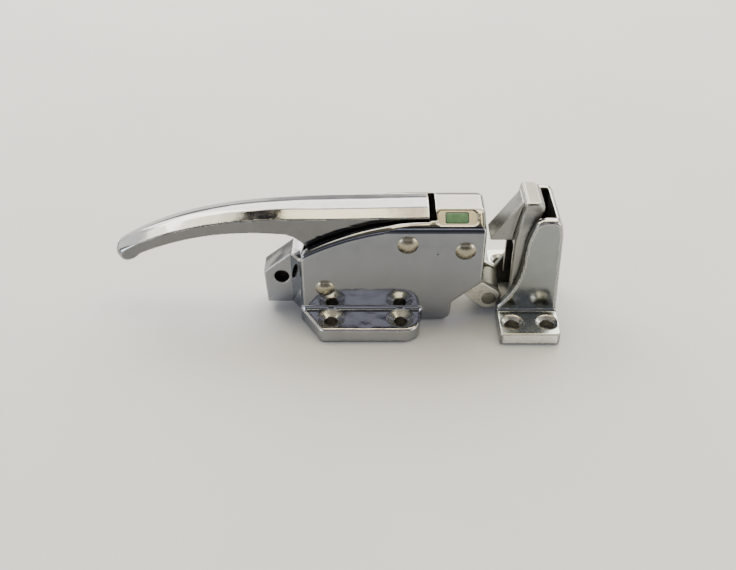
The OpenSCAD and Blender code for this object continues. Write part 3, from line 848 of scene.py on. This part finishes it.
# the ear's slope gets a slightly darker, neutral copy of the chrome: painted shade
zone(housing, (nn[:, 2] > 0.4) & (np.abs(nn[:, 1]) < 0.3) & (c[:, 0] < -33) & (ay < 6), "ear_slope")
zone(housing, inside, "ascast_shade")
# the eye hole's walls are near black and without sheen: a painted shade for the dark hole
zone(housing, near_axis(c, 0, 2, (-41.6, 19.2), 3.62) & (ay < 6.1), "eye")
cone = np.zeros(len(c), bool)
lip = np.zeros(len(c), bool)
drill = np.zeros(len(c), bool)
for sx in (-17, 17):
    rr = np.hypot(c[:, 0] - sx, ay - 24.5)
    cone |= (rr < 6.4) & (rr > 3.3) & (c[:, 2] > 1.5)
    lip |= (rr < 6.95) & (rr >= 6.4) & (nn[:, 2] > 0.4)
    drill |= (rr < 3.36)
zone(housing, cone, "turned")
# the outer ring of each countersink gets a much lighter copy of the chrome: a painted highlight
zone(housing, lip, "lip")
zone(housing, drill, "bore")

# strike: the curved edge and the channel are as cast and painted dark, a painted shade for the shadowed gap and hollow
c, nn = FACES[strike.name]
ay = np.abs(c[:, 1])
# the foot's top faces get a lighter copy of the chrome: painted light
zone(strike, (nn[:, 2] > 0.93) & (c[:, 2] < 6.6) & (ay > 18.8), "strike_top")
# the foot's low front and back faces get a much lighter copy: painted light against the shade of the floor they mirror
zone(strike, (np.abs(nn[:, 1]) > 0.9) & (c[:, 2] < 5.6) & (ay > 34.5), "strike_low")
zone(strike, (ay < 13.3) & (c[:, 0] < 89.3) & (c[:, 2] > 0.6) & (nn[:, 2] < 0.6), "ascast_shade")
zone(strike, (nn[:, 0] < -0.62) & (c[:, 0] < 80) & (c[:, 2] > 7), "edge")
cone = np.zeros(len(c), bool)
lip = np.zeros(len(c), bool)
drill = np.zeros(len(c), bool)
for sx in (71.5, 88.5):
    rr = np.hypot(c[:, 0] - sx, ay - 26)
    cone |= (rr < 5.35) & (rr > 3.56) & (c[:, 2] > 1.5)
    lip |= (rr < 5.8) & (rr >= 5.35) & (nn[:, 2] > 0.4)
    drill |= (rr < 3.62)
zone(strike, cone, "turned")
# the outer ring of each countersink gets a much lighter copy of the chrome: a painted highlight
zone(strike, lip, "lip")
zone(strike, drill, "bore")

# hook: its channel is as cast and painted very dark, a painted shade
c, nn = FACES[hook.name]
# the top of the head gets a darker copy of the chrome: painted shade
zone(hook, (nn[:, 2] > 0.88) & (c[:, 2] > 63), "hook_top")
# the hook's broken edges get a lighter, duller copy of the chrome: a painted highlight
zone(hook, BEND[hook.name] > 0.22, "hook_rim")
zone(hook, (np.abs(c[:, 1]) < 10.0) & (c[:, 0] > 71.2) & (c[:, 0] < 77.5) & (c[:, 2] < 40.8), "ascast_shade")

# handle: the part inside the case is as cast and painted very dark, a painted shade; its flat sides get a darker copy
# of the chrome, also painted shade
c, nn = FACES[handle.name]
zone(handle, (np.abs(nn[:, 1]) > 0.93) & (np.abs(c[:, 1]) > 7), "handle_side")
zone(handle, (c[:, 2] < 47.3) & (c[:, 0] > -24) & (np.abs(c[:, 1]) < 10.3) | ((np.abs(c[:, 1]) < 7.7) & (c[:, 2] < 54) & (c[:, 0] > -27.5)), "ascast_shade")

# CAD pieces that stay as they are get their finish and a small broken edge
for node, key in (("handle_bushing", "bronze"), ("handle_washers", "steel"), ("bolt_bushing", "steel"), ("bolt_drive_pin", "axle"),
        ("spring_rod", "steel"), ("spring_washer", "steel"), ("spring_trunnion", "axle"), ("adjusting_screw", "steel"), ("screw_clip", "spring")):
    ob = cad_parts[node]
    if not ob.material_slots:
        ob.data.materials.append(MAT[key])
    for sl in ob.material_slots:
        sl.link = "OBJECT"
        sl.material = MAT[key]
    bv = ob.modifiers.new("edge", "BEVEL")
    bv.width = 0.00015
    bv.segments = 2
    bv.limit_method = "ANGLE"
    bv.angle_limit = math.radians(50)
    bv.harden_normals = False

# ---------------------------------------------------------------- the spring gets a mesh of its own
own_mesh(spring)

# ---------------------------------------------------------------- stage, light and camera
scene = bpy.context.scene

fm = Nodes("pale_floor")
soft = fm.noise(fm.mapped((1, 1, 1)), 7, 4.0, 0.55)
grit = fm.noise(fm.mapped((1, 1, 1)), 420, 3.0, 0.6)
fm.link(fm.ramp(soft, [(0.3, (0.515, 0.525, 0.550)), (0.7, (0.54, 0.55, 0.573))]), fm.b.inputs["Base Color"])
fm.link(fm.span(grit, 0.3, 0.7, 0.62, 0.72), fm.b.inputs["Roughness"])
fm.b.inputs["Specular IOR Level"].default_value = 0.2
fm.link(fm.bump(grit, 0.04, 0.0002), fm.b.inputs["Normal"])
me = bpy.data.meshes.new("floor")
me.from_pydata([(-4, -4, -0.0002), (4, -4, -0.0002), (4, 4, -0.0002), (-4, 4, -0.0002)], [], [(0, 1, 2, 3)])
floor = bpy.data.objects.new("floor", me)
scene.collection.objects.link(floor)
floor.data.materials.append(fm.mat)

world = bpy.data.worlds.new("studio")
scene.world = world
world.use_nodes = True
wt = world.node_tree
wt.nodes.clear()
wo = wt.nodes.new("ShaderNodeOutputWorld")
bg = wt.nodes.new("ShaderNodeBackground")
wt.links.new(bg.outputs[0], wo.inputs[0])
co = wt.nodes.new("ShaderNodeTexCoord")
sep = wt.nodes.new("ShaderNodeSeparateXYZ")
wt.links.new(co.outputs["Generated"], sep.inputs[0])


def wmath(op, a, b=None):
    n = wt.nodes.new("ShaderNodeMath")
    n.operation = op
    for i, v in enumerate((a, b)):
        if v is None:
            continue
        if isinstance(v, (int, float)):
            n.inputs[i].default_value = v
        else:
            wt.links.new(v, n.inputs[i])
    return n.outputs[0]


def wspan(v, lo, hi, a=0.0, b=1.0):
    n = wt.nodes.new("ShaderNodeMapRange")
    n.interpolation_type = "SMOOTHSTEP"
    n.inputs["From Min"].default_value = lo
    n.inputs["From Max"].default_value = hi
    n.inputs["To Min"].default_value = a
    n.inputs["To Max"].default_value = b
    wt.links.new(v, n.inputs["Value"])
    return n.outputs[0]


def wmix(f, a, b):
    n = wt.nodes.new("ShaderNodeMix")
    n.data_type = "RGBA"
    for sock, v in ((n.inputs[0], f), (n.inputs[6], a), (n.inputs[7], b)):
        if isinstance(v, (int, float)):
            sock.default_value = v
        elif isinstance(v, tuple):
            sock.default_value = (*v, 1)
        else:
            wt.links.new(v, sock)
    return n.outputs[2]


X, Y, Z = sep.outputs
# angle of the direction about the X axis: 0 straight up, negative towards the viewer, positive behind the object
tilt = wmath("ARCTAN2", Y, Z)
base = wmix(wspan(tilt, -0.36, -0.16), (0.060, 0.058, 0.064), (0.42, 0.385, 0.31))
base = wmix(wspan(tilt, 0.36, 0.60), base, (2.6, 2.55, 2.45))
base = wmix(wspan(tilt, 1.20, 1.42), base, (0.74, 0.74, 0.73))


def wnoise(scale):
    n = wt.nodes.new("ShaderNodeTexNoise")
    n.inputs["Scale"].default_value = scale
    n.inputs["Detail"].default_value = 3.0
    wt.links.new(co.outputs["Generated"], n.inputs["Vector"])
    return n.outputs["Fac"]


# a faint strip in the dark front, which the far bevels mirror
base = wmix(wmath("MULTIPLY", wspan(tilt, -0.52, -0.46), wspan(tilt, -0.30, -0.36)), base, (0.40, 0.39, 0.38))
# a dark patch between the two lights on the left
patch = wmath("MULTIPLY", wspan(X, -0.40, -0.36), wspan(X, -0.12, -0.16))
patch = wmath("MULTIPLY", patch, wmath("MULTIPLY", wspan(tilt, 0.20, 0.26), wspan(tilt, 0.62, 0.54)))
base = wmix(patch, base, (0.05, 0.052, 0.06))
pane = wmix(wspan(wnoise(16.0), 0.40, 0.62), (0.60, 0.605, 0.70), (1.9, 1.9, 2.06))
base = wmix(wspan(tilt, -0.80, -0.87), base, pane)
base = wmix(wspan(tilt, -0.96, -1.03), base, (0.12, 0.12, 0.14))
base = wmix(wspan(tilt, -1.30, -1.42), base, (0.36, 0.36, 0.37))
base = wmix(wspan(wnoise(3.0), 0.50, 0.62, 0.0, 0.30), base, (0.14, 0.135, 0.13))
wt.links.new(base, bg.inputs["Color"])
bg.inputs["Strength"].default_value = 1.0


def area(name, loc, aim, size, power, colour):
    ld = bpy.data.lights.new(name, "AREA")
    ld.shape = "RECTANGLE"
    ld.size, ld.size_y = size
    ld.energy = power
    ld.color = colour
    lo = bpy.data.objects.new(name, ld)
    scene.collection.objects.link(lo)
    lo.location = loc
    lo.rotation_euler = (Vector(aim) - Vector(loc)).to_track_quat("-Z", "Y").to_euler()
    return lo


area("back_soft", (-0.05, 1.08, 0.85), (0, 0, 0.03), (2.4, 1.0), 43.0, (1.0, 0.955, 0.865))
area("left_soft", (-0.83, 0.62, 1.06), (-0.06, 0, 0.03), (0.85, 0.75), 10.6, (1.0, 0.90, 0.66))
area("right_soft", (1.15, -0.42, 0.42), (0.02, 0, 0.03), (0.5, 0.6), 6.0, (1.0, 0.96, 0.88))
area("left_low", (-1.15, -0.50, 0.40), (0.0, -0.05, 0.02), (0.5, 0.5), 5.0, (0.84, 0.92, 1.0))
for nm, x0, x1, power, tint in (("top_left", -0.25, 0.0, 14.5, (1.0, 0.86, 0.54)), ("top_mid", 0.0, 0.09, 6.6, (1.0, 0.80, 0.55)), ("top_right", 0.09, 0.83, 14.5, (1.0, 0.86, 0.54))):
    area(nm, ((x0 + x1) / 2, 0.28, 1.28), ((x0 + x1) / 2, 0, 0.03), (x1 - x0, 0.58), power * (x1 - x0), tint)

cam_data = bpy.data.cameras.new("camera")
cam_data.sensor_fit = "HORIZONTAL"
cam_data.sensor_width = 36
cam_data.lens = 915 / 736 * 36
cam_data.clip_start = 0.01
cam_data.clip_end = 30
cam = bpy.data.objects.new("camera", cam_data)
scene.collection.objects.link(cam)
cam.location = (0.0011, -0.36674, 0.29546)
cam.rotation_euler = (math.radians(52), 0, 0)
scene.camera = cam
